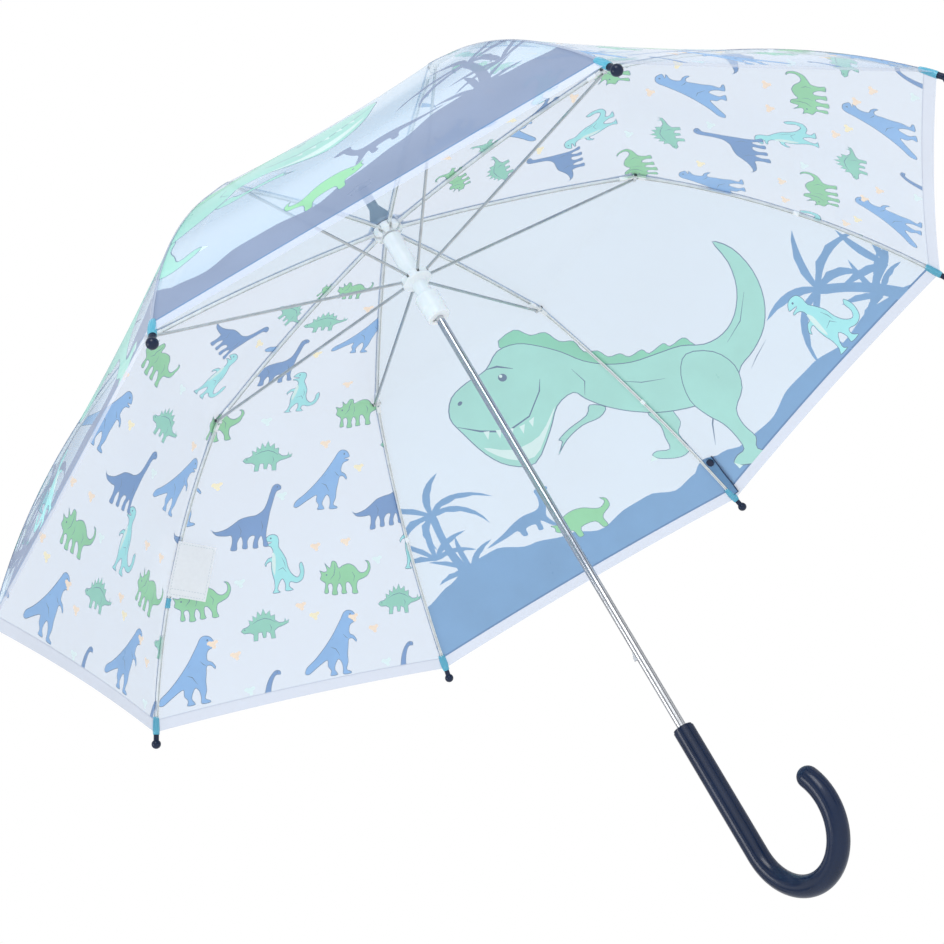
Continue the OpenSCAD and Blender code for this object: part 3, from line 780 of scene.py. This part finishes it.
def slab(name, place, corner, thick, nx, ny, mat, body):
    """Thin closed sheet: corner(a, b) gives x, y and z of its middle for a and b from 0 to 1."""
    pts, faces = [], []
    for side in (0.5, -0.5):
        for r in range(nx + 1):
            for c in range(ny + 1):
                x, y, z = corner(r / nx, c / ny)
                pts.append(place(x, y, z + side * thick))
    n = (nx + 1) * (ny + 1)
    for r in range(nx):
        for c in range(ny):
            k = r * (ny + 1) + c
            faces += [[k, k + 1, k + ny + 2, k + ny + 1], [n + k, n + k + ny + 1, n + k + ny + 2, n + k + 1]]
    rim_loop = ([r * (ny + 1) for r in range(nx + 1)] + [nx * (ny + 1) + c for c in range(1, ny + 1)]
                + [r * (ny + 1) + ny for r in range(nx - 1, -1, -1)] + list(range(ny - 1, 0, -1)))
    for a, b in zip(rim_loop, rim_loop[1:] + rim_loop[:1]):
        faces.append([a, b, b + n, a + n])
    obj = link(name, pts, faces, [mat])
    for p in obj.data.polygons:
        p.use_smooth = False
    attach(obj, body)
    return obj


def tube(name, points, r, mat, body, n=10):
    rings = []
    for k, p in enumerate(points):
        d = (points[min(k + 1, len(points) - 1)] - points[max(k - 1, 0)]).normalized()
        a = d.orthogonal().normalized()
        b = d.cross(a)
        rings.append([p + (a * math.cos(2 * math.pi * j / n) + b * math.sin(2 * math.pi * j / n)) * r / 1000
                      for j in range(n)])
    return loft(name, rings, mat, body)


strap_at = on_film(2, 1.87, film_tilt(1.87))


def strap_edge(a):
    return -13.2 + 4.4 * a


def strap_wave(a):
    return -1.05 + 0.25 * math.sin(3.1 * math.pi * a)


def strap_corner(a, b):
    y0, y1 = strap_edge(a), -2.2
    return -21 + 43 * a, y0 + (y1 - y0) * b, strap_wave(a)


strap = slab("strap", strap_at, strap_corner, 0.5, 40, 8, strap_mat, "outer_2")
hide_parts("closing_strap")
edge_line = [strap_at(-21 + 43 * k / 24, strap_edge(k / 24) + 0.3, strap_wave(k / 24)) for k in range(25)]
cord_edge = tube("strap_piping", edge_line, 0.62, piping, "outer_2")
end_line = [strap_at(22, -8.6 + 6.2 * k / 8, -1.05) for k in range(9)]
end_edge = tube("strap_end", end_line, 0.5, piping, "outer_2")

label_at = on_film(0, 1.46, 24)


def label_corner(a, b):
    curl = 0.9 * max(0, 0.25 - b) ** 2 * 16 * (0.5 + 0.5 * a)
    return -21.8 + 47.6 * a, -33 + 36 * b, -3.65 - curl + 0.16 * math.sin(5 * a + 4 * b)


label = slab("label", label_at, label_corner, 0.36, 30, 24, label_mat, "outer_0")
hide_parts("care_label")
# Stitch lines from one corner share to another: the four sides, and one more beside the last.
EDGES = ((0.04, 0.05, 0.96, 0.05), (0.96, 0.05, 0.96, 0.95), (0.96, 0.95, 0.04, 0.95),
         (0.04, 0.95, 0.04, 0.05), (0.86, 0.05, 0.86, 0.95))
for n, (a0, b0, a1, b1) in enumerate(EDGES):
    dashes = 16 if n in (0, 2) else 12
    pts, faces = [], []
    for k in range(dashes):
        for side in (-1, 1):
            ring_pts = []
            for t in (0.15, 0.75):
                w = (k + t) / dashes
                x, y, z = label_corner(a0 + (a1 - a0) * w, b0 + (b1 - b0) * w)
                along = (0, 0.22) if n in (0, 2) else (0.22, 0)
                for q in (-1, 1):
                    ring_pts.append(label_at(x + q * along[0], y + q * along[1], z + side * 0.26))
            base = len(pts)
            pts += ring_pts
            faces.append([base, base + 1, base + 3, base + 2])
    obj = link(f"label_stitch_{n}", pts, faces, [thread])
    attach(obj, "outer_0")

# ---------------------------------------- camera, from the fitted view
cam = bpy.data.cameras.new("camera")
cam.lens, cam.sensor_width = 76.885, 36.0
cam.clip_start, cam.clip_end = 0.05, 50
eye = bpy.data.objects.new("camera", cam)
bpy.context.scene.collection.objects.link(eye)
right, up, back = (Vector(v) for v in ((0.455675, 0.764469, -0.456013), (0.605353, 0.109455, 0.788396),
                                       (0.652617, -0.635301, -0.412897)))
eye.matrix_world = Matrix((
    (right.x, up.x, back.x, 0.98753), (right.y, up.y, back.y, -1.01571), (right.z, up.z, back.z, -0.33111),
    (0, 0, 0, 1)))
bpy.context.scene.camera = eye


# ---------------------------------------- floor and light
def area_light(name, place, target, size, watts):
    lamp = bpy.data.lights.new(name, "AREA")
    lamp.size, lamp.energy = size, watts
    obj = bpy.data.objects.new(name, lamp)
    bpy.context.scene.collection.objects.link(obj)
    obj.location = place
    obj.rotation_mode = "QUATERNION"
    obj.rotation_quaternion = (Vector(target) - Vector(place)).to_track_quat("-Z", "Y")


area_light("key", (2.2, -1.4, 1.6), (0, 0, 0.3), 1.2, 26)
area_light("side", (-1.0, -2.6, 0.6), (0, 0, 0.1), 0.9, 14)

floor_z = -1.3
floor = link("floor", [(-8, -8, floor_z), (8, -8, floor_z), (8, 8, floor_z),
                       (-8, 8, floor_z)], [[0, 1, 2, 3]],
             [material("floor_pale", (0.86, 0.87, 0.88), rough=0.7, spread=0.01, scale=3)])

world = bpy.data.worlds.new("studio")
bpy.context.scene.world = world
world.use_nodes = True
nt = world.node_tree
nt.nodes.clear()
output = nt.nodes.new("ShaderNodeOutputWorld")
mix = nt.nodes.new("ShaderNodeMixShader")
path = nt.nodes.new("ShaderNodeLightPath")
seen = nt.nodes.new("ShaderNodeBackground")
seen.inputs["Color"].default_value = (1, 1, 1, 1)
lit = nt.nodes.new("ShaderNodeBackground")
lit.inputs["Color"].default_value = (0.95, 0.96, 0.98, 1)
gloss = nt.nodes.new("ShaderNodeBackground")
coord = nt.nodes.new("ShaderNodeTexCoord")
turn = nt.nodes.new("ShaderNodeMapping")
turn.inputs["Rotation"].default_value = (0.3, 0.0, 0.5)
bands = nt.nodes.new("ShaderNodeTexWave")
bands.inputs["Scale"].default_value = 0.85
bands.inputs["Distortion"].default_value = 0.0
ramp = nt.nodes.new("ShaderNodeValToRGB")
ramp.color_ramp.elements[0].position, ramp.color_ramp.elements[0].color = 0.28, (0.10, 0.11, 0.13, 1)
ramp.color_ramp.elements[1].position, ramp.color_ramp.elements[1].color = 0.62, (1.0, 1.0, 1.0, 1)
gloss_mix = nt.nodes.new("ShaderNodeMixShader")
nt.links.new(coord.outputs["Generated"], turn.inputs["Vector"])
nt.links.new(turn.outputs["Vector"], bands.inputs["Vector"])
nt.links.new(bands.outputs["Fac"], ramp.inputs["Fac"])
nt.links.new(ramp.outputs["Color"], gloss.inputs["Color"])
nt.links.new(path.outputs["Is Glossy Ray"], gloss_mix.inputs["Fac"])
nt.links.new(lit.outputs["Background"], gloss_mix.inputs[1])
nt.links.new(gloss.outputs["Background"], gloss_mix.inputs[2])
nt.links.new(path.outputs["Is Camera Ray"], mix.inputs["Fac"])
nt.links.new(gloss_mix.outputs["Shader"], mix.inputs[1])
nt.links.new(seen.outputs["Background"], mix.inputs[2])
nt.links.new(mix.outputs["Shader"], output.inputs["Surface"])
bpy.context.scene.view_settings.view_transform = "Standard"
bpy.context.scene.cycles.transparent_max_bounces = 32
